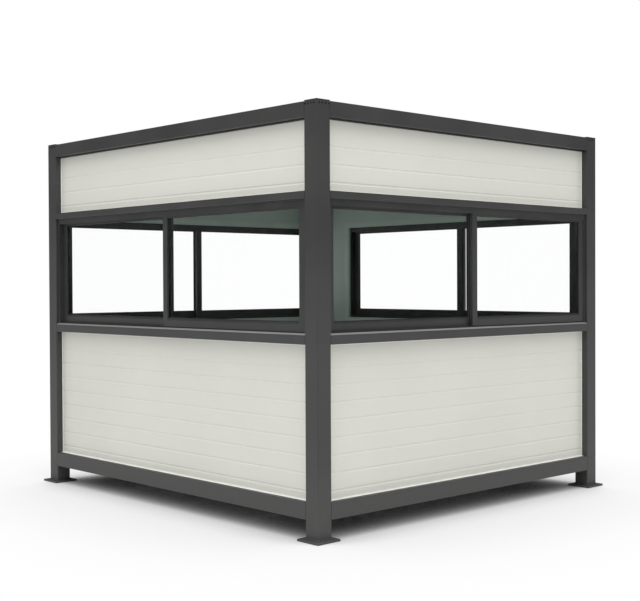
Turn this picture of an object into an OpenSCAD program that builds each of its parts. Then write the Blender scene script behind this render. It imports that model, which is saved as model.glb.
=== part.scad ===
// Cabin on four short legs. A painted steel frame of corner posts and rails stands in front of
// ribbed sandwich wall panels, with a band of sliding windows round all four sides, a raised
// floor and a flat roof sunk inside the top rails. Millimetres, ground level at z = 0, origin
// at the middle of the plan. X runs along the front wall and Y runs from front to back.

/* [Overall] */
// Length of the frame along X, outside the posts
frame_length = 2800; // [2300:10:4000]
// Depth of the frame along Y, outside the posts
frame_depth = 2590; // [2300:10:4000]
// Height from the ground to the top of the roof frame
frame_height = 2370; // [2250:5:2900]

/* [Posts and feet] */
// Side of the square corner posts
post_size = 100; // [100:1:150]
// Thickness of the cap that closes each post
cap_thickness = 5; // [3:1:10]
// How far the base plates stand out from the posts
base_plate_overhang = 33; // [28:1:60]
// Thickness of the base plates
base_plate_thickness = 12; // [8:1:20]
// Diameter of the anchor holes in the base plates
anchor_hole_diameter = 14; // [10:1:17]
// Distance from the centre of an anchor hole to the edges of its plate
anchor_hole_inset = 16; // [14:1:18]

/* [Rails] */
// Clear height under the bottom rails
leg_height = 115; // [80:5:200]
// Height of the bottom rails
bottom_rail_height = 95; // [90:5:140]
// Height of the top rails
top_rail_height = 85; // [80:5:140]
// Height of the rail under the windows
sill_rail_height = 50; // [30:5:80]
// Height of the rail over the windows
lintel_rail_height = 40; // [30:5:80]

/* [Wall panels] */
// Thickness of the sandwich wall panels
panel_thickness = 50; // [40:1:60]
// Step from the inner faces of the posts back to the inner faces of the panels
inner_step = 4; // [3:1:10]
// Spacing of the shallow grooves pressed in the outer skin
groove_pitch = 96.5; // [60:0.5:150]
// Width of a groove
groove_width = 14; // [8:1:24]
// Depth of a groove
groove_depth = 2; // [1:0.5:4]
// Width of the full-height panel in the back wall, beside the left post
side_panel_width = 377; // [200:1:600]

/* [Window band] */
// Height of the window sills above the ground
sill_height = 1110; // [900:5:1200]
// Height of the window openings
window_height = 740; // [500:5:800]
// Width of the window jambs
jamb_width = 20; // [15:1:40]
// Thickness of the head of the window frames
head_thickness = 13; // [10:1:20]
// Thickness of the sill of the window frames
sill_thickness = 18; // [10:1:25]
// How far the window frames stand back from the outer faces of the posts
window_setback = 15; // [12:1:17]
// Height of the sloped apron in front of the sill, which sheds rain over the sill rail
apron_height = 9; // [5:1:12]
// How far the sill under the outer sash stands back from the face of the frame
track_inset = 9; // [5:1:20]
// Height of the guide fins over the sashes
head_fin_height = 25; // [15:1:30]
// Height of the fin that parts the two tracks at the sill
sill_fin_height = 8; // [4:1:12]
// Thickness of the guide fins
fin_thickness = 3; // [2:0.5:3]
// Clearance between a sash and the fins on either side of it
track_clearance = 1.5; // [0.5:0.5:2]

/* [Sashes] */
// Thickness of a sash
sash_thickness = 22; // [18:1:25]
// Width of the upright sash members
stile_width = 45; // [35:1:70]
// Height of the bottom rail of a sash
sash_foot_height = 52; // [40:1:80]
// Height of the top rail of a sash
sash_head_height = 36; // [30:1:60]
// Height of the slope on the outside of the bottom rail of a sash
foot_slope_height = 12; // [6:1:15]
// Depth of that slope
foot_slope_depth = 5; // [3:0.5:5]
// Thickness of the glass
glass_thickness = 5; // [4:1:6]
// How far the glass reaches into the groove of the sash
glass_bite = 8; // [5:1:12]
// Gap round the glass and the sashes
fit_gap = 0.5; // [0.3:0.1:0.8]
// Middle of the meeting stiles from the middle of the front wall
front_meeting = -15; // [-200:5:200]
// The same for the right wall
right_meeting = 35; // [-200:5:200]
// The same for the back wall
back_meeting = -245; // [-400:5:0]
// The same for the left wall
left_meeting = 20; // [-200:5:200]

/* [Inside] */
// Width of the flat trim round each window, inside
casing_width = 38; // [25:1:50]
// Thickness of the inside trim
casing_thickness = 3; // [2:0.5:3]
// Thickness of the floor board
floor_thickness = 20; // [15:1:30]
// Height of the floor joists
joist_height = 60; // [40:5:60]
// Width of the floor joists
joist_width = 50; // [40:5:80]
// Number of floor joists
joist_count = 5; // [3:1:8]

/* [Roof] */
// Thickness of the roof panel
roof_panel_thickness = 50; // [40:5:75]

/* [Hidden] */
span_x = frame_length - 2 * post_size;
span_y = frame_depth - 2 * post_size;
rail_top_z = leg_height + bottom_rail_height;
window_top_z = sill_height + window_height;
roof_z = frame_height - top_rail_height;
base_plate_size = post_size + 2 * base_plate_overhang;
anchor_hole_spacing = base_plate_size - 2 * anchor_hole_inset;
panel_back = post_size - inner_step;
rail_depth = panel_back - panel_thickness;
track_pitch = fin_thickness + sash_thickness + 2 * track_clearance;
window_back = window_setback + fin_thickness + 2 * track_pitch;
casing_face = panel_back + casing_thickness;
mid_fin_y = window_setback + track_pitch;
apron_start = 1;
outer_sash_y = window_setback + fin_thickness + track_clearance;
inner_sash_y = outer_sash_y + track_pitch;
sash_z = sill_height + sill_thickness + fit_gap;
sash_top_z = window_top_z - head_thickness - fit_gap;
plain_strip = 0.75 * groove_pitch;
steel = [0.33, 0.33, 0.32];
alloy = [0.30, 0.30, 0.30];
panel_white = [0.84, 0.84, 0.81];
trim_white = [0.92, 0.92, 0.90];
board_grey = [0.60, 0.60, 0.58];
pane_tint = [0.70, 0.80, 0.78, 0.35];

// Each wall is drawn once in its own frame: x runs to the right as seen from outside, with 0 in
// the middle of the wall, y runs inwards from the outer faces of the posts, and z is up.
module on_front() {
    translate([0, -frame_depth / 2, 0]) children();
}

module on_right() {
    translate([frame_length / 2, 0, 0]) rotate([0, 0, 90]) children();
}

module on_back() {
    translate([0, frame_depth / 2, 0]) rotate([0, 0, 180]) children();
}

module on_left() {
    translate([-frame_length / 2, 0, 0]) rotate([0, 0, -90]) children();
}

// A bar along the wall from x0 to x1, y0 to y1 and z0 to z1
module bar(x0, x1, y0, y1, z0, z1) {
    translate([x0, y0, z0]) cube([x1 - x0, y1 - y0, z1 - z0]);
}

// A length from x0 to x1 of a section drawn with its depth and height
module section_along(x0, x1) {
    translate([x0, 0, 0]) rotate([90, 0, 90]) linear_extrude(height = x1 - x0) children();
}

// Corner posts, their plates and caps

module at_corner(side_x, side_y) {
    translate([side_x * (frame_length - post_size) / 2, side_y * (frame_depth - post_size) / 2, 0])
        children();
}

module at_corners() {
    for (side_x = [-1, 1], side_y = [-1, 1]) at_corner(side_x, side_y) children();
}

module post(side_x, side_y) {
    at_corner(side_x, side_y)
        translate([-post_size / 2, -post_size / 2, base_plate_thickness])
            cube([post_size, post_size, frame_height - base_plate_thickness]);
}

module base_plate() {
    hole_at = anchor_hole_spacing / 2;
    difference() {
        translate([-base_plate_size / 2, -base_plate_size / 2, 0])
            cube([base_plate_size, base_plate_size, base_plate_thickness]);
        for (x = [-hole_at, hole_at], y = [-hole_at, hole_at])
            translate([x, y, -1])
                cylinder(h = base_plate_thickness + 2, d = anchor_hole_diameter, $fn = 48);
    }
}

module base_plates() {
    color(steel) at_corners() base_plate();
}

module post_caps() {
    color(steel) at_corners()
        translate([-post_size / 2, -post_size / 2, frame_height])
            cube([post_size, post_size, cap_thickness]);
}

// Rails of one wall, between posts that stand span apart

module bottom_rail(span) {
    color(steel) bar(-span / 2, span / 2, 0, post_size, leg_height, rail_top_z);
}

module sill_rail(span) {
    color(steel)
        bar(-span / 2, span / 2, 0, rail_depth, sill_height - sill_rail_height, sill_height);
}

module lintel_rail(span) {
    color(steel)
        bar(-span / 2, span / 2, 0, rail_depth, window_top_z, window_top_z + lintel_rail_height);
}

module top_rail(span) {
    color(steel) bar(-span / 2, span / 2, 0, rail_depth, roof_z, frame_height);
}

// A sandwich panel with level grooves in its outer skin, between the heights low and high of
// the rails round it: half a pitch over the lower rail, and none in a plain strip at the top

function groove_points(z) = [
    [0, z - groove_width / 2],
    [groove_depth, z - groove_width / 4],
    [groove_depth, z + groove_width / 4],
    [0, z + groove_width / 2]
];

function panel_outline(z0, z1, low, high) = concat(
    [[0, z0]],
    [for (z = [low + groove_pitch / 2 : groove_pitch : high - plain_strip])
        for (p = groove_points(z)) p],
    [[0, z1], [panel_thickness, z1], [panel_thickness, z0]]
);

module wall_panel(x0, x1, z0, z1, low, high) {
    color(panel_white)
        section_along(x0, x1)
            translate([rail_depth, 0])
                polygon(panel_outline(z0, z1, low, high));
}

module lower_panel(x0, x1) {
    wall_panel(x0, x1, rail_top_z, sill_height, rail_top_z, sill_height - sill_rail_height);
}

module upper_panel(x0, x1) {
    wall_panel(x0, x1, window_top_z, roof_z, window_top_z + lintel_rail_height, roof_z);
}

// Windows: an outer frame with two tracks, and two sashes that pass each other

module head_fin(x0, x1, y) {
    bar(x0, x1, y, y + fin_thickness, window_top_z - head_thickness - head_fin_height,
        window_top_z);
}

module sill_fin(x0, x1, y) {
    bar(x0, x1, y, y + fin_thickness, sill_height, sill_height + sill_thickness + sill_fin_height);
}

module sill_section() {
    top = sill_height + sill_thickness;
    step = sill_height + apron_height;
    track_face = window_setback + track_inset;
    polygon([
        [apron_start, sill_height],
        [window_setback, step],
        [track_face, step],
        [track_face, top],
        [window_back, top],
        [window_back, sill_height]
    ]);
}

module window_frame(x0, x1) {
    color(alloy) {
        bar(x0, x0 + jamb_width, window_setback, window_back, sill_height, window_top_z);
        bar(x1 - jamb_width, x1, window_setback, window_back, sill_height, window_top_z);
        section_along(x0, x1) sill_section();
        bar(x0, x1, window_setback, window_back, window_top_z - head_thickness, window_top_z);
        for (y = [window_setback, mid_fin_y, window_back - fin_thickness]) head_fin(x0, x1, y);
        sill_fin(x0, x1, mid_fin_y);
    }
}

// The space that a pane and its groove take in a sash from x0 to x1, grown by gap all round
module pane_space(x0, x1, y, gap) {
    grow = glass_bite + gap;
    middle = y + sash_thickness / 2;
    half = glass_thickness / 2 + gap;
    bar(x0 + stile_width - grow, x1 - stile_width + grow, middle - half, middle + half,
        sash_z + sash_foot_height - grow, sash_top_z - sash_head_height + grow);
}

// The corner that the slope takes off the outside of a sash's bottom rail
module foot_corner(y) {
    top = sash_z + sash_foot_height;
    polygon([
        [y - foot_slope_depth, top - 2 * foot_slope_height],
        [y - foot_slope_depth, top + foot_slope_height],
        [y + 2 * foot_slope_depth, top + foot_slope_height]
    ]);
}

module sash(x0, x1, y) {
    color(alloy) difference() {
        bar(x0, x1, y, y + sash_thickness, sash_z, sash_top_z);
        bar(x0 + stile_width, x1 - stile_width, y - 1, y + sash_thickness + 1,
            sash_z + sash_foot_height, sash_top_z - sash_head_height);
        pane_space(x0, x1, y, fit_gap);
        section_along(x0 + stile_width, x1 - stile_width) foot_corner(y);
    }
}

// The right-hand sash runs on the outer track and the left-hand sash on the inner one
module sashes(x0, x1, meeting) {
    sash(meeting - stile_width / 2, x1 - jamb_width - fit_gap, outer_sash_y);
    sash(x0 + jamb_width + fit_gap, meeting + stile_width / 2, inner_sash_y);
}

module outer_pane(x1, meeting) {
    color(pane_tint)
        pane_space(meeting - stile_width / 2, x1 - jamb_width - fit_gap, outer_sash_y, 0);
}

module inner_pane(x0, meeting) {
    color(pane_tint)
        pane_space(x0 + jamb_width + fit_gap, meeting + stile_width / 2, inner_sash_y, 0);
}

// The section of the trim under a window (way 1) or over it (way -1): a flat strip on the inner
// face of the wall panel, and a leg across the edge of the panel to the window frame
module casing_section(edge, way) {
    polygon([
        [panel_back, edge - way * casing_width],
        [casing_face, edge - way * casing_width],
        [casing_face, edge + way * casing_thickness],
        [window_back, edge + way * casing_thickness],
        [window_back, edge],
        [panel_back, edge]
    ]);
}

module casing(x0, x1) {
    color(trim_white) {
        section_along(x0, x1) casing_section(sill_height, 1);
        section_along(x0, x1) casing_section(window_top_z, -1);
    }
}

// The same trim upright, beside a window that stops short of a post
module side_casing(x0) {
    gap = casing_thickness + fit_gap;
    color(trim_white) {
        bar(x0 + fit_gap, x0 + casing_width, panel_back, casing_face,
            sill_height - casing_width, window_top_z + casing_width);
        bar(x0 - casing_thickness, x0 + casing_thickness, panel_back, casing_face,
            sill_height + gap, window_top_z - gap);
        bar(x0 - casing_thickness, x0, window_back, casing_face,
            sill_height + gap, window_top_z - gap);
    }
}

// Floor and roof

module floor_board() {
    color(board_grey)
        translate([-span_x / 2, -span_y / 2, rail_top_z - floor_thickness])
            cube([span_x, span_y, floor_thickness]);
}

module floor_joists() {
    joist_step = (span_x - joist_width) / (joist_count - 1);
    color(steel)
        for (i = [0 : joist_count - 1])
            translate([-span_x / 2 + i * joist_step, -span_y / 2,
                rail_top_z - floor_thickness - joist_height])
                cube([joist_width, span_y, joist_height]);
}

module roof_panel() {
    inner_x = frame_length - 2 * rail_depth;
    inner_y = frame_depth - 2 * rail_depth;
    color(panel_white)
        difference() {
            translate([-inner_x / 2, -inner_y / 2, roof_z])
                cube([inner_x, inner_y, roof_panel_thickness]);
            at_corners()
                translate([-post_size / 2, -post_size / 2, roof_z - 1])
                    cube([post_size, post_size, roof_panel_thickness + 2]);
        }
}

// The sub-parts, wall by wall

x_end = span_x / 2;
y_end = span_y / 2;
back_window_end = x_end - side_panel_width;

module post_front_left() { color(steel) post(-1, -1); }
module post_front_right() { color(steel) post(1, -1); }
module post_back_right() { color(steel) post(1, 1); }
module post_back_left() { color(steel) post(-1, 1); }

module front_bottom_rail() { on_front() bottom_rail(span_x); }
module right_bottom_rail() { on_right() bottom_rail(span_y); }
module back_bottom_rail() { on_back() bottom_rail(span_x); }
module left_bottom_rail() { on_left() bottom_rail(span_y); }

module front_sill_rail() { on_front() sill_rail(span_x); }
module right_sill_rail() { on_right() sill_rail(span_y); }
module back_sill_rail() { on_back() sill_rail(span_x); }
module left_sill_rail() { on_left() sill_rail(span_y); }

module front_lintel_rail() { on_front() lintel_rail(span_x); }
module right_lintel_rail() { on_right() lintel_rail(span_y); }
module back_lintel_rail() { on_back() lintel_rail(span_x); }
module left_lintel_rail() { on_left() lintel_rail(span_y); }

module front_top_rail() { on_front() top_rail(span_x); }
module right_top_rail() { on_right() top_rail(span_y); }
module back_top_rail() { on_back() top_rail(span_x); }
module left_top_rail() { on_left() top_rail(span_y); }

module front_lower_panel() { on_front() lower_panel(-x_end, x_end); }
module right_lower_panel() { on_right() lower_panel(-y_end, y_end); }
module back_lower_panel() { on_back() lower_panel(-x_end, back_window_end); }
module left_lower_panel() { on_left() lower_panel(-y_end, y_end); }

module front_upper_panel() { on_front() upper_panel(-x_end, x_end); }
module right_upper_panel() { on_right() upper_panel(-y_end, y_end); }
module back_upper_panel() { on_back() upper_panel(-x_end, back_window_end); }
module left_upper_panel() { on_left() upper_panel(-y_end, y_end); }

module back_side_panel() {
    on_back() wall_panel(back_window_end, x_end, rail_top_z, roof_z, rail_top_z, roof_z);
}

module front_window_frame() { on_front() window_frame(-x_end, x_end); }
module right_window_frame() { on_right() window_frame(-y_end, y_end); }
module back_window_frame() { on_back() window_frame(-x_end, back_window_end); }
module left_window_frame() { on_left() window_frame(-y_end, y_end); }

module front_sashes() { on_front() sashes(-x_end, x_end, front_meeting); }
module right_sashes() { on_right() sashes(-y_end, y_end, right_meeting); }
module back_sashes() { on_back() sashes(-x_end, back_window_end, back_meeting); }
module left_sashes() { on_left() sashes(-y_end, y_end, left_meeting); }

module outer_panes() {
    on_front() outer_pane(x_end, front_meeting);
    on_right() outer_pane(y_end, right_meeting);
    on_back() outer_pane(back_window_end, back_meeting);
    on_left() outer_pane(y_end, left_meeting);
}

module inner_panes() {
    on_front() inner_pane(-x_end, front_meeting);
    on_right() inner_pane(-y_end, right_meeting);
    on_back() inner_pane(-x_end, back_meeting);
    on_left() inner_pane(-y_end, left_meeting);
}

module window_casings() {
    on_front() casing(-x_end, x_end);
    on_right() casing(-y_end, y_end);
    on_back() {
        casing(-x_end, back_window_end);
        side_casing(back_window_end);
    }
    on_left() casing(-y_end, y_end);
}

base_plates();
post_front_left();
post_front_right();
post_back_right();
post_back_left();
post_caps();
front_bottom_rail();
right_bottom_rail();
back_bottom_rail();
left_bottom_rail();
front_sill_rail();
right_sill_rail();
back_sill_rail();
left_sill_rail();
front_lintel_rail();
right_lintel_rail();
back_lintel_rail();
left_lintel_rail();
front_top_rail();
right_top_rail();
back_top_rail();
left_top_rail();
front_lower_panel();
right_lower_panel();
back_lower_panel();
left_lower_panel();
front_upper_panel();
right_upper_panel();
back_upper_panel();
left_upper_panel();
back_side_panel();
front_window_frame();
right_window_frame();
back_window_frame();
left_window_frame();
front_sashes();
right_sashes();
back_sashes();
left_sashes();
outer_panes();
inner_panes();
window_casings();
floor_board();
floor_joists();
roof_panel();
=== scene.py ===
# %% [markdown]
# # A cabin of painted steel, ribbed white panels and sliding windows
#
# The real object is a small site office that stands on four short legs. Its frame is square
# steel tube with a dark satin powder coat, its walls are sandwich panels with a pressed skin,
# and a band of sliding windows runs round all four sides. The solid parts come from the packed
# CAD model, which fixes every size. This lesson gives those parts their finishes and adds the
# small things that a fitter would see: edge trims, gaskets, screws, welds and roof flashings.

# %% Load the frame
import math

import bmesh
import bpy
from mathutils import Matrix, Vector


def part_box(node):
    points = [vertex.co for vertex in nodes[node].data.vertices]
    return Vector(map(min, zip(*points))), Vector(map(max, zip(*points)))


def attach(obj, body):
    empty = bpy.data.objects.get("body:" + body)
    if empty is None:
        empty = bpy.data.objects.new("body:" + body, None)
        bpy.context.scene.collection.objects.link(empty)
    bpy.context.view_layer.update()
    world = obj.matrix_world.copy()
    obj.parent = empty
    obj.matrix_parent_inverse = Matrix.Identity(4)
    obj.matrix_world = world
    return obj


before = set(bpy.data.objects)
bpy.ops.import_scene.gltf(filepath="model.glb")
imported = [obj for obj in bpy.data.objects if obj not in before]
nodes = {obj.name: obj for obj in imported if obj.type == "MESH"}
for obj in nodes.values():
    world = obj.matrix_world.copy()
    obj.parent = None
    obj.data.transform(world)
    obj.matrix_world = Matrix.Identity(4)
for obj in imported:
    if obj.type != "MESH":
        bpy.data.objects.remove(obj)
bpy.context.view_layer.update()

MM = 0.001

# %% [markdown]
# ## Camera
#
# The cabin is seen from eye height, well back, with a near corner in the middle. A camera can be
# aimed with a constraint or by an empty, but its place and its three turns are known here, so
# its axes are written straight into a matrix: where it looks, what is to its right, what is up.

# %% Camera
camera_place = Vector((5.942, -5.488, 1.389))
camera_turn, camera_tilt, camera_roll = (math.radians(a) for a in (47.151, -0.829, -0.239))
camera_lens = 65.39

ahead = Vector((-math.sin(camera_turn) * math.cos(camera_tilt),
                math.cos(camera_turn) * math.cos(camera_tilt), math.sin(camera_tilt)))
level = Vector((math.cos(camera_turn), math.sin(camera_turn), 0))
upright = level.cross(ahead)
to_right = math.cos(camera_roll) * level + math.sin(camera_roll) * upright
to_top = math.cos(camera_roll) * upright - math.sin(camera_roll) * level

camera = bpy.data.objects.new("studio_camera", bpy.data.cameras.new("studio_camera"))
camera.data.lens = camera_lens
camera.matrix_world = Matrix((
    (to_right.x, to_top.x, -ahead.x, camera_place.x),
    (to_right.y, to_top.y, -ahead.y, camera_place.y),
    (to_right.z, to_top.z, -ahead.z, camera_place.z),
    (0, 0, 0, 1)))
bpy.context.scene.collection.objects.link(camera)
bpy.context.scene.camera = camera
bpy.context.scene.view_settings.view_transform = "Standard"
print("camera is", round(camera_place.length, 2), "m from the middle of the floor plan")

# %% [markdown]
# ## A bench for finishes
#
# Every finish here is a node material worked out from the point's own place on the object, in
# metres, so a grain of one millimetre is one millimetre on every part. The small class below
# keeps the few steps that all finishes share: noise of a given size, a blend of two colours, a
# bump of a given height, and a mask that finds the outer edges, where a coat wears first and
# where a lighter line is painted on as a highlight.

# %% A bench for finishes
class Finish:
    """A material that is put together node by node round one Principled shader."""

    def __init__(self, name):
        self.material = bpy.data.materials.new(name)
        self.material.use_nodes = True
        self.tree = self.material.node_tree
        self.shader = self.tree.nodes["Principled BSDF"]
        self.output = self.tree.nodes["Material Output"]
        self.coordinates = self.add("ShaderNodeTexCoord")
        self.place = self.coordinates.outputs["Object"]

    def add(self, kind, **settings):
        node = self.tree.nodes.new(kind)
        for name, value in settings.items():
            setattr(node, name, value)
        return node

    def feed(self, socket, value):
        """Links an output to a socket, or sets the socket to a plain value."""
        if isinstance(value, bpy.types.NodeSocket):
            self.tree.links.new(value, socket)
        else:
            socket.default_value = value

    def math(self, operation, a, b=0.0):
        node = self.add("ShaderNodeMath", operation=operation)
        self.feed(node.inputs[0], a)
        self.feed(node.inputs[1], b)
        return node.outputs[0]

    def stretch(self, sizes):
        """The place on the object, measured in steps of a different size along X, Y and Z."""
        node = self.add("ShaderNodeMapping")
        self.feed(node.inputs["Vector"], self.place)
        node.inputs["Scale"].default_value = [1 / s for s in sizes]
        return node.outputs[0]

    def noise(self, size, detail=2.0, roughness=0.5, sizes=None):
        """Soft noise from 0 to 1 whose patches are about size metres across."""
        node = self.add("ShaderNodeTexNoise")
        self.feed(node.inputs["Vector"], self.stretch(sizes) if sizes else self.place)
        node.inputs["Scale"].default_value = 1 / size
        node.inputs["Detail"].default_value = detail
        node.inputs["Roughness"].default_value = roughness
        return node.outputs[0]

    def spread(self, value, low, high, start=0.0, end=1.0, smooth=False):
        """Maps value from start..end onto low..high."""
        node = self.add("ShaderNodeMapRange")
        node.interpolation_type = "SMOOTHSTEP" if smooth else "LINEAR"
        for socket, v in zip(node.inputs[:5], (value, start, end, low, high)):
            self.feed(socket, v)
        return node.outputs[0]

    def blend(self, share, a, b):
        node = self.add("ShaderNodeMix", data_type="RGBA")
        self.feed(node.inputs[0], share)
        self.feed(node.inputs[6], (*a, 1) if isinstance(a, tuple) else a)
        self.feed(node.inputs[7], (*b, 1) if isinstance(b, tuple) else b)
        return node.outputs[2]

    def bump(self, height, depth, under=None):
        """A bump of depth metres, laid over another bump if under is given."""
        node = self.add("ShaderNodeBump")
        node.inputs["Strength"].default_value = 1.0
        node.inputs["Distance"].default_value = depth
        self.feed(node.inputs["Height"], height)
        if under is not None:
            self.feed(node.inputs["Normal"], under)
        return node.outputs[0]

    def edges(self, reach, low=0.02, high=0.25):
        """1 on outer edges and 0 on flats: how far a rounded normal leaves the true one."""
        rounded = self.add("ShaderNodeBevel", samples=4)
        rounded.inputs["Radius"].default_value = reach
        true = self.add("ShaderNodeNewGeometry")
        product = self.add("ShaderNodeVectorMath", operation="DOT_PRODUCT")
        self.feed(product.inputs[0], rounded.outputs[0])
        self.feed(product.inputs[1], true.outputs["Normal"])
        return self.spread(self.math("SUBTRACT", 1.0, product.outputs["Value"]), 0.0, 1.0, low, high)

    def height(self):
        """The height above the ground in metres."""
        node = self.add("ShaderNodeSeparateXYZ")
        self.feed(node.inputs[0], self.place)
        return node.outputs["Z"]

    def finish(self, colour=None, roughness=None, normal=None, **numbers):
        for name, value in (("Base Color", colour), ("Roughness", roughness), ("Normal", normal)):
            if value is not None:
                self.feed(self.shader.inputs[name],
                          (*value, 1) if isinstance(value, tuple) else value)
        for name, value in numbers.items():
            self.shader.inputs[name.replace("_", " ")].default_value = value
        return self.material


def mix_shaders(tree, share, first, second):
    """The first shader where share is 0 and the second where it is 1."""
    node = tree.nodes.new("ShaderNodeMixShader")
    for socket, output in zip(node.inputs, (share, first, second)):
        tree.links.new(output, socket)
    return node.outputs[0]


def tone(red, green, blue):
    """The linear colour of an sRGB colour given from 0 to 255."""
    return tuple((c / 255 / 12.92) if c <= 10 else ((c / 255 + 0.055) / 1.055) ** 2.4
                 for c in (red, green, blue))


print("white paint of 216 is linear", round(tone(216, 216, 216)[0], 3))

# %% [markdown]
# ## Powder-coated steel
#
# Posts, rails, plates and joists have one dark grey powder coat. Powder melts into a skin that
# is satin and not quite flat, the "orange peel" of a few millimetres. A single grey looks like
# plastic, so the coat drifts a little in tone and carries a few rubbed marks. Its outer edges
# turn to a lighter line, which is wear and also a painted highlight, and it grows lighter from
# the ground up to knee height, which is dust and also painted light thrown up by the floor.

# %% Powder-coated steel
def make_coat(name, body, wear_and_highlight_tone, dust_and_floor_light_tone, peel_size=3.2 * MM, wear_and_highlight_share=0.55):
    coat = Finish(name)
    drift = coat.noise(0.45, detail=3.0)
    fine = coat.noise(9 * MM, detail=2.0)
    deep = tuple(c * 0.90 for c in body)
    pale = tuple(c * 1.12 for c in body)
    colour = coat.blend(coat.spread(drift, 0.0, 1.0, 0.35, 0.65), deep, pale)
    # lighter towards the ground: dust, and painted light thrown up from the floor
    dust_and_floor_light = coat.math("MULTIPLY", coat.spread(coat.height(), 0.42, 0.0, 0.0, 0.55, smooth=True),
                      coat.spread(fine, 0.35, 1.0, 0.35, 0.7))
    colour = coat.blend(dust_and_floor_light, colour, dust_and_floor_light_tone)
    # lighter outer edges: wear, and a painted highlight on the edges
    rubbed_and_highlit_edges = coat.math("MULTIPLY", coat.edges(2.5 * MM),
                       coat.spread(coat.noise(60 * MM, detail=4.0), 0.15, wear_and_highlight_share, 0.36, 0.60))
    colour = coat.blend(rubbed_and_highlit_edges, colour, wear_and_highlight_tone)
    peel = coat.noise(peel_size, detail=1.0)
    normal = coat.bump(peel, 0.05 * MM, coat.bump(coat.noise(35 * MM, detail=1.0), 0.08 * MM))
    roughness = coat.spread(drift, 0.36, 0.46, 0.3, 0.7)
    roughness = coat.math("ADD", roughness, coat.math("MULTIPLY", dust_and_floor_light, 0.5))
    return coat.finish(colour, roughness, normal)


steel_grey = tone(57, 58, 57)
steel_coat = make_coat("steel_powder_coat", steel_grey, tone(128, 128, 126), tone(92, 92, 90))
print("steel coat reflects", round(steel_grey[0], 3))

# %% [markdown]
# ## Anodised window alloy
#
# The sashes and their frames are extruded aluminium in a colour close to the steel. An extrusion
# carries very fine lines along its length. The lines are noise drawn out along X and Y, so they
# run level on the rails; on the uprights they read as a faint grain.

# %% Anodised window alloy
def make_alloy():
    alloy = Finish("window_alloy_coat")
    lines = alloy.noise(1.0, detail=2.0, sizes=(0.18, 0.18, 0.9 * MM))
    patches = alloy.noise(0.25, detail=3.0)
    body = alloy.blend(alloy.spread(patches, 0.0, 1.0, 0.35, 0.65), tone(44, 45, 45), tone(51, 52, 51))
    body = alloy.blend(alloy.spread(lines, 0.0, 0.08), body, tone(96, 96, 94))
    # lighter outer edges: wear, and a painted highlight on the edges
    rubbed_and_highlit_edges = alloy.math("MULTIPLY", alloy.edges(1.2 * MM),
                        alloy.spread(alloy.noise(45 * MM, detail=3.0), 0.0, 0.5, 0.42, 0.6))
    body = alloy.blend(rubbed_and_highlit_edges, body, tone(140, 140, 138))
    normal = alloy.bump(lines, 0.02 * MM)
    return alloy.finish(body, alloy.spread(patches, 0.34, 0.46, 0.3, 0.7), normal)


alloy_coat = make_alloy()
print("alloy coat:", len(alloy_coat.node_tree.nodes), "nodes")

# %% [markdown]
# ## Pressed panel skin
#
# A wall panel is foam between two thin painted sheets. The outer sheet is a warm off-white with
# a fine stucco emboss; the inner one is a grey-green, darker than the outer, whose green and
# darkness are the tint of the window glass and the shade inside the room, painted on. Both belong
# to one CAD part, so one material paints both: it asks whether a face looks away from the middle
# of the cabin or towards it. Rain leaves faint upright streaks, which are noise drawn out in height.

# %% Pressed panel skin
outer_white = tone(219, 219, 211)
# the inside colour, greener and darker than the outside: the glass's tint and the room's shade, painted on
inner_tint_and_shade = tone(182, 196, 187)


def looks_outwards(finish):
    """1 where a face looks away from the middle of the cabin, 0 where it looks inwards."""
    product = finish.add("ShaderNodeVectorMath", operation="DOT_PRODUCT")
    flat = finish.add("ShaderNodeVectorMath", operation="MULTIPLY")
    finish.feed(flat.inputs[0], finish.place)
    flat.inputs[1].default_value = (1, 1, 0)
    finish.feed(product.inputs[0], flat.outputs[0])
    finish.feed(product.inputs[1], finish.coordinates.outputs["Normal"])
    return finish.math("GREATER_THAN", product.outputs["Value"], 0.0)


def make_panel_skin():
    skin = Finish("panel_skin_paint")
    drift = skin.noise(0.8, detail=2.0)
    shade = tuple(c * 0.965 for c in outer_white)
    outside = skin.blend(skin.spread(drift, 0.0, 1.0, 0.35, 0.65), outer_white, shade)
    streaks = skin.noise(1.0, detail=3.0, sizes=(60 * MM, 60 * MM, 1.4))
    outside = skin.blend(skin.spread(streaks, 0.0, 0.02, 0.52, 0.78), outside, tone(176, 172, 158))
    inside = skin.blend(skin.spread(drift, 0.0, 1.0, 0.3, 0.7), inner_tint_and_shade, tone(172, 187, 178))
    colour = skin.blend(looks_outwards(skin), inside, outside)
    emboss = skin.noise(2.2 * MM, detail=1.0)
    normal = skin.bump(emboss, 0.035 * MM, skin.bump(skin.noise(0.22, detail=1.0), 0.35 * MM))
    return skin.finish(colour, skin.spread(drift, 0.46, 0.58, 0.3, 0.7), normal)


panel_skin = make_panel_skin()
print("panel skin:", len(panel_skin.node_tree.nodes), "nodes")

# %% [markdown]
# ## Roof sheet
#
# The roof panel is the same foam sandwich, but its upper sheet is a plain light grey that has
# weathered: dust settles on it and dries in soft rings. Its lower sheet is the ceiling and has
# the inner grey-green, with the glass's tint and the room's shade painted into it. The two are
# told apart by whether a face looks down.

# %% Roof sheet
def make_roof_sheet():
    roof = Finish("roof_sheet_paint")
    clouds = roof.noise(0.35, detail=5.0, roughness=0.6)
    above = roof.blend(roof.spread(clouds, 0.0, 1.0, 0.35, 0.7), tone(172, 174, 172), tone(158, 159, 155))
    facing = roof.add("ShaderNodeSeparateXYZ")
    roof.feed(facing.inputs[0], roof.coordinates.outputs["Normal"])
    is_above = roof.math("GREATER_THAN", facing.outputs["Z"], -0.5)
    emboss = roof.bump(roof.noise(2.2 * MM, detail=1.0), 0.03 * MM)
    return roof.finish(roof.blend(is_above, inner_tint_and_shade, above), roof.spread(clouds, 0.5, 0.7), emboss)


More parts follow.
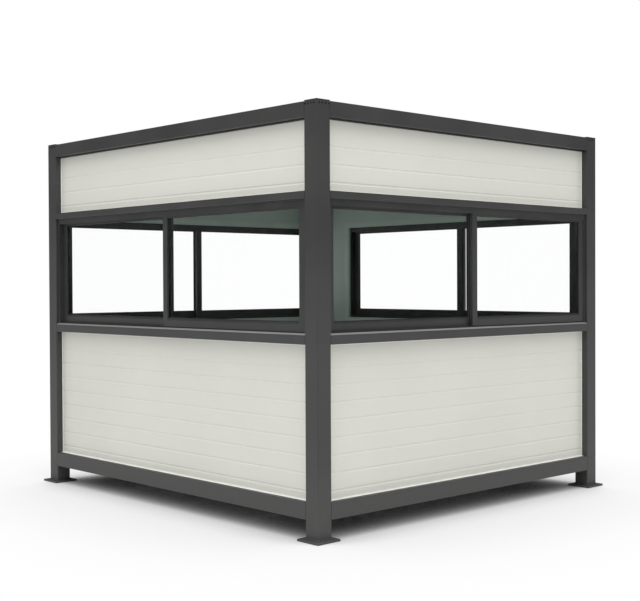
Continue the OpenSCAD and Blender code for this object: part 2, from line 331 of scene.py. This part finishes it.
roof_sheet = make_roof_sheet()
print("roof sheet:", len(roof_sheet.node_tree.nodes), "nodes")

# %% [markdown]
# ## White trim, board, rubber and screws
#
# The folded trims are cut from the same kind of sheet as the panels but a cleaner white. The
# floor is a pressed cement board with grit in it, the gaskets are black rubber, and the screws
# are blackened steel. Each is a short recipe on the same bench.

# %% White trim, board, rubber and screws
def make_trim(name, pale, deep):
    trim = Finish(name)
    drift = trim.noise(0.3, detail=2.0)
    colour = trim.blend(trim.spread(drift, 0.0, 1.0, 0.35, 0.65), pale, deep)
    patches = trim.spread(trim.noise(40 * MM, detail=3.0), 0.0, 0.35, 0.4, 0.7)
    grime = trim.math("MULTIPLY", trim.edges(1.5 * MM), patches)
    colour = trim.blend(grime, colour, tone(170, 168, 158))
    return trim.finish(colour, trim.spread(drift, 0.40, 0.5), trim.bump(trim.noise(2.5 * MM), 0.02 * MM))


def make_board():
    board = Finish("cement_board_face")
    grit = board.noise(2.0 * MM, detail=3.0, roughness=0.7)
    clouds = board.noise(0.18, detail=4.0)
    colour = board.blend(board.spread(clouds, 0.0, 1.0, 0.3, 0.7), tone(150, 148, 142), tone(172, 170, 163))
    colour = board.blend(board.spread(grit, 0.0, 0.5, 0.5, 0.8), colour, tone(112, 110, 104))
    return board.finish(colour, board.spread(grit, 0.7, 0.9), board.bump(grit, 0.12 * MM))


def make_rubber():
    rubber = Finish("black_gasket_rubber")
    bloom = rubber.noise(30 * MM, detail=3.0)
    colour = rubber.blend(rubber.spread(bloom, 0.0, 1.0, 0.35, 0.7), tone(26, 26, 26), tone(40, 40, 39))
    return rubber.finish(colour, rubber.spread(bloom, 0.55, 0.75),
                         rubber.bump(rubber.noise(1.2 * MM), 0.03 * MM))


def make_screw_black():
    black = Finish("blackened_screw")
    spangle = black.noise(2.5 * MM, detail=2.0)
    colour = black.blend(black.spread(spangle, 0.0, 1.0, 0.35, 0.65), tone(16, 16, 16), tone(30, 30, 29))
    return black.finish(colour, black.spread(spangle, 0.35, 0.55), black.bump(spangle, 0.02 * MM),
                        Metallic=0.6)


white_trim = make_trim("white_trim_paint", tone(242, 242, 238), tone(234, 234, 229))
# green-grey inside trim: the glass's tint and the room's shade, painted on
inner_trim_tint_and_shade = make_trim("inner_trim_with_painted_tint", tone(190, 203, 195), tone(180, 194, 186))
cement_board, gasket_rubber, black_screw = make_board(), make_rubber(), make_screw_black()
print("short recipes:", [m.name for m in (white_trim, cement_board, gasket_rubber, black_screw)])

# %% [markdown]
# ## Clear glass
#
# Window glass does three things: it lets the view through with a breath of green, it mirrors a
# little of the room, and it carries a film of dust. A full glass shader bends light and makes
# lamps struggle to get inside, so a pane this thin is better as a see-through shader with a
# weak gloss over it. Fresnel makes the gloss stronger towards a grazing view.

# %% Clear glass
def make_glass():
    glass = Finish("clear_pane_glass")
    clear = glass.add("ShaderNodeBsdfTransparent")
    smears = glass.noise(0.12, detail=4.0)
    tints = (0.9985, 1.0, 0.9995), (0.997, 0.9995, 0.9985)
    glass.feed(clear.inputs[0], glass.blend(glass.spread(smears, 0.0, 1.0, 0.3, 0.7), *tints))
    gloss = glass.add("ShaderNodeBsdfGlossy")
    gloss.inputs["Color"].default_value = (0.92, 0.97, 0.95, 1)
    glass.feed(gloss.inputs["Roughness"], glass.spread(smears, 0.015, 0.025, 0.3, 0.7))
    fresnel = glass.add("ShaderNodeFresnel")
    fresnel.inputs["IOR"].default_value = 1.07
    clean = mix_shaders(glass.tree, fresnel.outputs[0], clear.outputs[0], gloss.outputs[0])
    streaks = glass.noise(1.0, detail=3.0, sizes=(45 * MM, 45 * MM, 0.5))
    film = glass.add("ShaderNodeBsdfDiffuse")
    film.inputs["Color"].default_value = (0.80, 0.83, 0.81, 1)
    dust_and_floor_light = mix_shaders(glass.tree, glass.spread(streaks, 0.0, 0.006, 0.52, 0.75), clean, film.outputs[0])
    glass.tree.nodes.remove(glass.shader)
    glass.feed(glass.output.inputs["Surface"], dust_and_floor_light)
    return glass.material


pane_glass = make_glass()
print("glass:", len(pane_glass.node_tree.nodes), "nodes")

# %% [markdown]
# ## Dress the CAD parts
#
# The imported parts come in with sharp, split edges. Nothing sold is that sharp: a tube has a
# small corner radius and a pressed groove has a soft lip. The CAD mesh itself must stay as it
# is, so the softening is a stack of modifiers: Weld joins the split corners, Decimate dissolves
# the flat triangles back to whole faces, and Bevel rounds what is left.

# %% Dress the CAD parts
def soften(part, width, segments=2):
    """Rounds the edges of a part by width metres, without a change to its own mesh."""
    part.modifiers.new("join_split_corners", "WELD").merge_threshold = 0.01 * MM
    flat = part.modifiers.new("whole_faces", "DECIMATE")
    flat.decimate_type = "DISSOLVE"
    flat.angle_limit = math.radians(0.5)
    bevel = part.modifiers.new("soft_edges", "BEVEL")
    bevel.width, bevel.segments = width, segments
    bevel.limit_method, bevel.angle_limit = "ANGLE", math.radians(20)
    bevel.use_clamp_overlap = True
    bevel.harden_normals = True


def dress(names, material, width, segments=2):
    for name in names:
        part = nodes[name]
        part.data.materials.clear()
        part.data.materials.append(material)
        soften(part, width, segments)


def named(*endings):
    return [n for n in nodes if n.endswith(endings)]


posts = ["post_front_left", "post_front_right", "post_back_right", "post_back_left"]
dress(posts, steel_coat, 5.0 * MM, 4)
dress(["post_caps"], steel_coat, 1.5 * MM)
dress(named("_bottom_rail", "_sill_rail", "_lintel_rail", "_top_rail"), steel_coat, 2.5 * MM, 3)
dress(["base_plates", "floor_joists"], steel_coat, 1.0 * MM)
dress(named("_window_frame", "_sashes"), alloy_coat, 0.6 * MM)
dress(named("_lower_panel", "_upper_panel", "_side_panel"), panel_skin, 1.2 * MM)
dress(["roof_panel"], roof_sheet, 1.5 * MM)
dress(["window_casings"], inner_trim_tint_and_shade, 0.6 * MM)
dress(["floor_board"], cement_board, 1.0 * MM)
dress(["outer_panes", "inner_panes"], pane_glass, 0.4 * MM, 1)
print("dressed", sum(bool(o.modifiers) for o in nodes.values()), "of", len(nodes), "CAD parts")

# %% [markdown]
# ## The four walls as workbenches
#
# All four walls are built alike, so a piece is easiest to draw once, flat on a bench: x runs to
# the right as seen from outside, y goes inwards from the outer face of the posts, and z is up.
# A wall then carries the piece round to its own side of the cabin. The sizes are read from the
# boxes of the CAD parts, so the trims follow the frame if the frame changes.

# %% The four walls as workbenches
plan_low, post_inner_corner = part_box("post_front_left")
plan_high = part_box("post_back_right")[1]
post_size = post_inner_corner.x - plan_low.x


class Wall:
    def __init__(self, name, across, inwards, outer):
        self.name = name
        self.across, self.inwards, self.outer = Vector(across), Vector(inwards), Vector(outer)

    def place(self, x, y, z):
        """The point of the room that is x across, y in and z up on this wall's bench."""
        return self.outer + self.across * x + self.inwards * y + Vector((0, 0, z))

    def box(self, node):
        """The lowest and highest corner of a CAD part, on this wall's bench."""
        corners = [(self.across.dot(c), self.inwards.dot(c - self.outer), c.z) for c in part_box(node)]
        return (Vector(map(min, *corners)), Vector(map(max, *corners)))

    def part(self, ending):
        return self.box(f"{self.name}_{ending}")


walls = [
    Wall("front", (1, 0, 0), (0, 1, 0), (0, plan_low.y, 0)),
    Wall("right", (0, 1, 0), (-1, 0, 0), (plan_high.x, 0, 0)),
    Wall("back", (-1, 0, 0), (0, -1, 0), (0, plan_high.y, 0)),
    Wall("left", (0, -1, 0), (1, 0, 0), (plan_low.x, 0, 0)),
]
for wall in walls:
    low, high = wall.part("lower_panel")
    print(wall.name, "lower panel:", [round(v / MM) for v in low], "to", [round(v / MM) for v in high], "mm")

# %% [markdown]
# ## Mitred rings
#
# Trims, gaskets and flashings all do the same thing: one section runs round a rectangle and is
# mitred at its corners. One could model four bars and cut their ends, but it is simpler to
# carry the section to each corner, where it leans at 45 degrees, and skin between corners. The
# section is a list of points: how far in from the edge of the rectangle, and how deep.

# %% Mitred rings
def new_piece(name, mesh, material):
    """Turns mesh code into a piece that rides on the cabin."""
    bmesh.ops.recalc_face_normals(mesh, faces=mesh.faces)
    data = bpy.data.meshes.new(name)
    mesh.to_mesh(data)
    mesh.free()
    data.materials.append(material)
    piece = bpy.data.objects.new(name, data)
    bpy.context.scene.collection.objects.link(piece)
    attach(piece, "root")
    return piece


def add_ring(mesh, place, outline, section):
    """Skins a section round a closed outline of square corners, listed anticlockwise. A point of
    the section says how far in from the outline, and how deep. place makes it a point in space."""
    rings = []
    for i, (x, z) in enumerate(outline):
        (x0, z0), (x1, z1) = outline[i - 1], outline[(i + 1) % len(outline)]
        before, after = Vector((x - x0, z - z0)).normalized(), Vector((x1 - x, z1 - z)).normalized()
        mitre = Vector((-before.y - after.y, before.x + after.x))
        rings.append([mesh.verts.new(place(x + mitre.x * inset, deep, z + mitre.y * inset))
                      for inset, deep in section])
    for here, there in zip(rings, rings[1:] + rings[:1]):
        for i in range(len(section)):
            j = (i + 1) % len(section)
            mesh.faces.new((here[i], here[j], there[j], there[i]))


def rectangle(left, right, bottom, top):
    return [(left, bottom), (right, bottom), (right, top), (left, top)]


def add_run(mesh, place, start, end, section):
    """Skins a section of (deep, up) points straight from start to end, with closed ends."""
    ends = [[mesh.verts.new(place(x, deep, z)) for deep, z in section] for x in (start, end)]
    for i in range(len(section)):
        j = (i + 1) % len(section)
        mesh.faces.new((ends[0][i], ends[0][j], ends[1][j], ends[1][i]))
    mesh.faces.new(ends[0])
    mesh.faces.new(ends[1])


print("corners to mitre on a plain opening:", len(rectangle(0, 1, 0, 1)))

# %% [markdown]
# ## Folded edge trims
#
# Each panel is held in its bay by a slim white angle: one leg lies on the panel's face and the
# other turns out along the post or rail. A folded ledge lies on the rail below and throws rain
# off it, and a dark foam strip under the top rail closes the gap there and also stands in for
# the rail's shadow, a painted shadow. The angle is an L section with rounded lips that runs
# round the bay as a mitred ring; the ledge and the strip are straight.

# %% Folded edge trims
sheet = 1.0 * MM
trim_leg = 3 * MM
trim_face = {"lower": 7 * MM, "upper": 6 * MM}
end_gap, shadow_strip_end_gap = 0.5 * MM, 1 * MM


def angle_section(face, leg, depth):
    """An L of folded sheet: leg out along the frame, face on the panel."""
    return [(0, depth), (0, depth - leg), (sheet, depth - leg), (sheet, depth - 1.6 * sheet),
            (1.6 * sheet, depth - sheet), (face - 0.4 * sheet, depth - sheet), (face, depth - 0.3 * sheet),
            (face, depth)]


def ledge_section(depth, bottom):
    """A flat sheet on the rail, from 3.2 mm in front of the panel to 16 mm in front of it."""
    return [(depth - 3.2 * MM, bottom), (depth - 3.2 * MM, bottom + sheet),
            (depth - 15 * MM, bottom + sheet), (depth - 16 * MM, bottom + 0.4 * sheet),
            (depth - 16 * MM, bottom)]


def shadow_strip_section(depth, top):
    """A foam strip, 14 mm wide and 9 mm high, that hangs under the top rail; its dark is also a painted
    shadow of the rail.
    """
    return [(depth - 4 * MM, top), (depth - 4 * MM, top - 9 * MM), (depth - 16 * MM, top - 9 * MM),
            (depth - 18 * MM, top - 7 * MM), (depth - 18 * MM, top)]


def bays(wall):
    """The name, bottom and top of both panel bays of a wall, between its rails."""
    return [("lower", wall.part("bottom_rail")[1].z, wall.part("sill_rail")[0].z),
            ("upper", wall.part("lintel_rail")[1].z, wall.part("top_rail")[0].z)]


for wall in walls:
    for which, bottom, top in bays(wall):
        panel_low, panel_high = wall.part(f"{which}_panel")
        left, right, depth = panel_low.x, panel_high.x, panel_low.y
        mesh = bmesh.new()
        add_ring(mesh, wall.place, rectangle(left, right, bottom, top),
                 angle_section(trim_face[which], trim_leg, depth))
        add_run(mesh, wall.place, left + end_gap, right - end_gap, ledge_section(depth, bottom))
        new_piece(f"{wall.name}_{which}_edge_trim", mesh, white_trim)
    rail_low, rail_high = wall.part("top_rail")
    mesh = bmesh.new()
    add_run(mesh, wall.place, rail_low.x + shadow_strip_end_gap, rail_high.x - shadow_strip_end_gap,
            shadow_strip_section(depth, rail_low.z))
    new_piece(f"{wall.name}_head_shadow_strip", mesh, gasket_rubber)
print("trimmed panel bays:", sum(len(bays(wall)) for wall in walls))

# %% [markdown]
# ## Glazing gaskets
#
# A pane sits in its sash between two strips of black rubber. A strip is a small wedge that
# stands a few millimetres proud of the alloy and slopes down to the glass, so that water runs
# off. It is the same mitred ring again, once on each side of every pane.

# %% Glazing gaskets
pane_bite = 8 * MM
outwards, inwards = -1, 1


def points_on(wall, node):
    """The corners of a CAD part that lie in this wall, on the wall's bench."""
    low, high = wall.part("sashes")
    points = [Vector((wall.across.dot(v.co), wall.inwards.dot(v.co - wall.outer), v.co.z))
              for v in nodes[node].data.vertices]
    return [p for p in points if low.x < p.x < high.x and low.y < p.y < high.y]


def gasket_section(face, way):
    """A wedge of rubber on a pane whose face is at depth face, on its side that way points to."""
    return [(0, face), (4.0 * MM, face), (3.6 * MM, face + way * 0.8 * MM),
            (1.6 * MM, face + way * 4.2 * MM), (0.6 * MM, face + way * 4.8 * MM),
            (0, face + way * 4.8 * MM)]


for wall in walls:
    mesh = bmesh.new()
    for node in ("outer_panes", "inner_panes"):
        spots = points_on(wall, node)
        low, high = Vector(map(min, *spots)), Vector(map(max, *spots))
        opening = rectangle(low.x + pane_bite, high.x - pane_bite, low.z + pane_bite, high.z - pane_bite)
        add_ring(mesh, wall.place, opening, gasket_section(low.y, outwards))
        add_ring(mesh, wall.place, opening, gasket_section(high.y, inwards))
    new_piece(f"{wall.name}_glazing_gaskets", mesh, gasket_rubber)
    print(wall.name, "inner pane", round((high.x - low.x) / MM), "by", round((high.z - low.z) / MM), "mm")

# %% [markdown]
# ## Sill drips, brushes and sealant
#
# Three slim pieces close the joints of a window. A folded drip of light satin alloy lies on the
# sloped apron and throws rain clear of the rail; its light tone is also a painted highlight along
# the sill. A black brush strip fills the slot under the outer sash, and a bead of black sealant
# fills the inner corner between the window frame and the rail over it; both are dark lines that
# also stand in for the shade in those recesses, a painted shade. They are straight runs, so each
# is one section between two ends.

# %% Sill drips, brushes and sealant
def make_drip_highlight_alloy():
    drip_highlight = Finish("satin_drip_alloy_highlight")
    rolled = drip_highlight.noise(1.0, detail=2.0, sizes=(0.25, 0.25, 1.2 * MM))
    # a light tone, which is a painted highlight along the top of the sill
    colour = drip_highlight.blend(drip_highlight.spread(rolled, 0.0, 1.0, 0.3, 0.7), tone(122, 122, 121), tone(142, 142, 141))
    return drip_highlight.finish(colour, drip_highlight.spread(rolled, 0.32, 0.45), drip_highlight.bump(rolled, 0.02 * MM))


drip_highlight_alloy = make_drip_highlight_alloy()
apron_rise = 9 * MM        # how much the sill slopes up to the sash
sash_gap = 4.5 * MM        # from the frame's face to the outer sash
jamb_width = 20.5 * MM
shade_brush_width, shade_brush_gap = 4.3 * MM, 0.4 * MM
for wall in walls:
    frame_low, frame_high = wall.part("window_frame")
    sash_low = wall.part("sashes")[0]
    sill, head, face = frame_low.z, frame_high.z, sash_low.y - sash_gap
    slope_top = sill + apron_rise
    drip_highlight = [(1.6 * MM, sill + 0.4 * MM), (0.6 * MM, sill + 1.6 * MM), (1.4 * MM, sill + 2.0 * MM),
            (face, slope_top + 1.2 * MM), (face + 3 * MM, slope_top + 1.2 * MM), (face + 3 * MM, slope_top)]
    mesh = bmesh.new()
    add_run(mesh, wall.place, frame_low.x + 1 * MM, frame_high.x - 1 * MM, drip_highlight)
    new_piece(f"{wall.name}_sill_drip_highlight", mesh, drip_highlight_alloy)

    # the dark brush and bead also stand in for the shade under the sash and under the lintel: painted shade
    front, top = sash_low.y, sash_low.z - shade_brush_gap
    shade_brush = [(front, slope_top), (front, top), (front + shade_brush_width, top), (front + shade_brush_width, slope_top)]
    bead = [(face, head), (face - 7 * MM, head), (face - 5.5 * MM, head - 3.5 * MM),
            (face - 3.5 * MM, head - 5.5 * MM), (face, head - 7 * MM)]
    mesh = bmesh.new()
    add_run(mesh, wall.place, frame_low.x + jamb_width, frame_high.x - jamb_width, shade_brush)
    add_run(mesh, wall.place, frame_low.x + 0.5 * MM, frame_high.x - 0.5 * MM, bead)
    new_piece(f"{wall.name}_window_seals_and_shade", mesh, gasket_rubber)
print("sill drips over the rails at", round(sill / MM), "mm")

# %% [markdown]
# ## Screws
#
# The roof frame is screwed to the posts, and each post shows a row of four button-head screws
# under its cap on both outer faces. A head is turned like a lathe part: a profile of radii and
# heights goes round in a circle, and its last ring is the bottom of the socket.

# %% Screws
screw_sides = 18
button_profile = [(1.0, 0.0), (1.0, 0.30), (0.90, 0.62), (0.72, 0.88), (0.50, 1.0), (0.44, 0.96),
                  (0.40, 0.30)]


def add_screw(mesh, centre, out, radius, height):
    """A button-head screw that stands on centre and points along out."""
    side = out.orthogonal().normalized()
    other = out.cross(side)
    turns = [2 * math.pi * i / screw_sides for i in range(screw_sides)]
    spokes = [(side * math.cos(a) + other * math.sin(a)) * radius for a in turns]
    rings = [[mesh.verts.new(centre + out * (h * height) + spoke * r) for spoke in spokes]
             for r, h in button_profile]
    for here, there in zip(rings, rings[1:]):
        for i in range(screw_sides):
            j = (i + 1) % screw_sides
            mesh.faces.new((here[i], here[j], there[j], there[i]))
    mesh.faces.new(rings[0])
    mesh.faces.new(rings[-1])


def shade_smooth(piece):
    for face in piece.data.polygons:
        face.use_smooth = True


screw_drop = 15 * MM
screw_places = [20 * MM, 43 * MM, 67 * MM, 90 * MM]
screw_radius, screw_height = 5.0 * MM, 2.6 * MM
mesh = bmesh.new()
for wall in walls:
    rail_end = wall.part("top_rail")[1]
    for side in (-1, 1):
        for inset in screw_places:
            spot = wall.place(side * (rail_end.x + post_size - inset), 0, rail_end.z - screw_drop)
            add_screw(mesh, spot, -wall.inwards, screw_radius, screw_height)
shade_smooth(new_piece("post_head_screws", mesh, black_screw))
print("screw heads:", len(walls) * 2 * len(screw_places))

# %% [markdown]
# ## Welds at the feet
#
# Each post is welded to its base plate all the way round. A fillet weld is a small bead at 45
# degrees with short beats along its length, as a welder's hand leaves them. Here it is a mitred
# ring on the plan, cut into short steps whose height then rises and falls in a slow wave.

# %% Welds at the feet
def on_plan(x, height, y):
    return Vector((x, y, height))


weld_leg = 6 * MM
beat_length, beat_height = 9 * MM, 0.35 * MM
mesh = bmesh.new()
for name in posts:
    low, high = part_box(name)
    bead = [(-weld_leg, low.z), (-0.72 * weld_leg, low.z + 0.42 * weld_leg),
            (-0.40 * weld_leg, low.z + 0.74 * weld_leg), (0, low.z + weld_leg), (0, low.z)]
    add_ring(mesh, on_plan, rectangle(low.x, high.x, low.y, high.y), bead)
long_edges = [e for e in mesh.edges if e.calc_length() > 80 * MM]
bmesh.ops.subdivide_edges(mesh, edges=long_edges, cuts=23, use_grid_fill=True)
plate_top = low.z
for v in mesh.verts:
    if plate_top + 1 * MM < v.co.z < plate_top + 5.5 * MM:
        v.co.z += beat_height * math.sin((v.co.x + v.co.y) * 2 * math.pi / beat_length)
welds = new_piece("foot_welds", mesh, steel_coat)
shade_smooth(welds)
print("weld faces:", len(welds.data.polygons))

# %% [markdown]
# ## Roof skin
#
# The roof is one insulated panel sunk inside the top rails. Its upper sheet has raised ribs that
# run from front to back, and a folded flashing seals it to the rails and round the posts. The
# flashing is a ring once more, on an outline with a notch at every post. The ribs are straight
# runs of a trapezoid section.

# %% Roof skin
roof_low, roof_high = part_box("roof_panel")
post_inner = Vector((plan_high.x - post_size, plan_high.y - post_size))
outline = []
for way_x, way_y, backwards in ((-1, -1, False), (1, -1, True), (1, 1, False), (-1, 1, True)):
    rail_x, rail_y = way_x * roof_high.x, way_y * roof_high.y
    post_x, post_y = way_x * post_inner.x, way_y * post_inner.y
    notch = [(rail_x, post_y), (post_x, post_y), (post_x, rail_y)]
    outline += notch[::-1] if backwards else notch
top = roof_high.z
flashing = [(0, top), (0, top + 24 * MM), (1.2 * MM, top + 24.5 * MM), (2.2 * MM, top + 3.5 * MM),
            (3.5 * MM, top + 2.2 * MM), (40 * MM, top + 1.4 * MM), (41 * MM, top)]
mesh = bmesh.new()
add_ring(mesh, on_plan, outline, flashing)
new_piece("roof_edge_flashing", mesh, steel_coat)

rib_pitch, rib_height = 0.25, 18 * MM
rib_side_gap, rib_end = 60 * MM, roof_high.y - 46 * MM
rib = [(-22 * MM, 0), (-10 * MM, rib_height - 1 * MM), (-9 * MM, rib_height),
       (9 * MM, rib_height), (10 * MM, rib_height - 1 * MM), (22 * MM, 0)]
ribs = 2 * int((post_inner.x - rib_side_gap) / rib_pitch) + 1
mesh = bmesh.new()
for i in range(ribs):
    middle = (i - ribs // 2) * rib_pitch
    add_run(mesh, lambda y, across, up, middle=middle: Vector((middle + across, y, top + up)),
            -rib_end, rib_end, rib)
new_piece("roof_ribs", mesh, roof_sheet)
print("roof ribs:", ribs)

# %% [markdown]
# ## Inside trims
#
# Inside, a low skirting hides the joint of wall and floor and a small cove closes the ceiling.
# Both are straight runs between the posts, drawn as a section of depth and height. They stop a
# little short of the corners, where the runs of two walls would meet.

# %% Inside trims
floor_top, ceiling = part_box("floor_board")[1].z, roof_low.z
skirting = [(0, 0), (12 * MM, 0), (12 * MM, 44 * MM), (9 * MM, 50 * MM), (0, 52 * MM)]
cove = [(0, 0), (0, -30 * MM), (1.5 * MM, -30 * MM), (4 * MM, -10 * MM), (10 * MM, -4 * MM),
        (30 * MM, -1.5 * MM), (30 * MM, 0)]
for name, section, height, end_gap in (("skirting", skirting, floor_top, 13 * MM),
                                       ("ceiling_cove", cove, ceiling, 31 * MM)):
    mesh = bmesh.new()
    for wall in walls:
        panel_back = wall.part("lower_panel")[1].y
        rail_low, rail_high = wall.part("bottom_rail")
        add_run(mesh, wall.place, rail_low.x + end_gap, rail_high.x - end_gap,
                [(panel_back + deep, height + up) for deep, up in section])
    new_piece(name, mesh, inner_trim_tint_and_shade)
print("floor at", round(floor_top, 3), "m, ceiling at", round(ceiling, 3), "m")

# %% [markdown]
# ## Floor, sky and lamp
#
# The studio is a plain pale floor under an even sky, with one large soft lamp overhead. Seen
# directly or through glass the surroundings are plain white. What they throw on the cabin, and
# what its gloss mirrors, is set apart from that, so the white background costs no light on the
# panels. Close under the cabin the floor carries a painted shadow: its seen colour is darkened by
# occlusion, where the sky can't reach it.

# %% Floor, sky and lamp
def light_path(tree, *names):
    """1 for any of these kinds of ray, 0 for the rest."""
    path = tree.nodes.new("ShaderNodeLightPath")
    total = path.outputs[names[0]]
    for name in names[1:]:
        either = tree.nodes.new("ShaderNodeMath")
        either.operation = "MAXIMUM"
        tree.links.new(total, either.inputs[0])
        tree.links.new(path.outputs[name], either.inputs[1])
        total = either.outputs[0]
    return total


def background(node, strength):
    """Sets a background node to plain white of the given strength."""
    node.inputs["Color"].default_value = (1, 1, 1, 1)
    node.inputs["Strength"].default_value = strength
    return node.outputs[0]


sky_strength, gloss_strength, shown_strength = 0.70, 0.14, 1.0
sky = bpy.data.worlds.new("even_sky")
sky.use_nodes = True
bpy.context.scene.world = sky
sky.cycles.sampling_method = "NONE"
tree = sky.node_tree
glow = background(tree.nodes["Background"], sky_strength)
white = background(tree.nodes.new("ShaderNodeBackground"), shown_strength)
dim = background(tree.nodes.new("ShaderNodeBackground"), gloss_strength)
light = mix_shaders(tree, light_path(tree, "Is Glossy Ray"), glow, dim)
seen = mix_shaders(tree, light_path(tree, "Is Camera Ray", "Is Transmission Ray"), light, white)
tree.links.new(seen, tree.nodes["World Output"].inputs["Surface"])


def make_floor():
    """Matt to the light. To the eye it is white, with a painted shadow where two reaches of occlusion darken
    its colour.
    """
    floor = Finish("pale_studio_floor")
    floor.tree.nodes.remove(floor.shader)
    matt = floor.add("ShaderNodeBsdfDiffuse")
    matt.inputs["Color"].default_value = (0.80, 0.80, 0.80, 1)
    near = floor.add("ShaderNodeAmbientOcclusion", samples=16)
    near.inputs["Distance"].default_value = 0.60
    far = floor.add("ShaderNodeAmbientOcclusion", samples=8)
    far.inputs["Distance"].default_value = 1.6
    shown = floor.add("ShaderNodeEmission")
    # painted shadow: occlusion darkens the colour the floor shows to the eye
    shade = floor.math("MULTIPLY", floor.spread(near.outputs["AO"], 0.008, 1.0, 0.08, 0.76),
                       floor.spread(far.outputs["AO"], 0.72, 1.0, 0.30, 0.93))
    floor.feed(shown.inputs["Color"], shade)
    is_seen = light_path(floor.tree, "Is Camera Ray", "Is Glossy Ray", "Is Transmission Ray")
    top_side = mix_shaders(floor.tree, is_seen, matt.outputs[0], shown.outputs[0])
    is_under = floor.add("ShaderNodeNewGeometry").outputs["Backfacing"]
    open_below = floor.add("ShaderNodeBsdfTransparent").outputs[0]
    floor.feed(floor.output.inputs["Surface"], mix_shaders(floor.tree, is_under, top_side, open_below))
    floor.material.cycles.emission_sampling = "NONE"
    return floor.material


floor_radius = 40
mesh = bmesh.new()
bmesh.ops.create_circle(mesh, cap_ends=True, segments=96, radius=floor_radius)
data = bpy.data.meshes.new("studio_floor")
mesh.to_mesh(data)
mesh.free()
data.materials.append(make_floor())
studio_floor = bpy.data.objects.new("studio_floor", data)
bpy.context.scene.collection.objects.link(studio_floor)

softbox_size, softbox_place, softbox_aim = 8.0, Vector((1.1, -1.1, 7.2)), Vector((0, 0, 1))
overhead = bpy.data.lights.new("overhead_softbox", "AREA")
overhead.shape, overhead.size, overhead.size_y = "RECTANGLE", softbox_size, softbox_size
overhead.energy = 640
lamp = bpy.data.objects.new("overhead_softbox", overhead)
lamp.location = softbox_place
lamp.rotation_euler = (softbox_aim - softbox_place).to_track_quat("-Z", "Y").to_euler()
bpy.context.scene.collection.objects.link(lamp)
print("sky", sky_strength, "overhead", overhead.energy, "W")
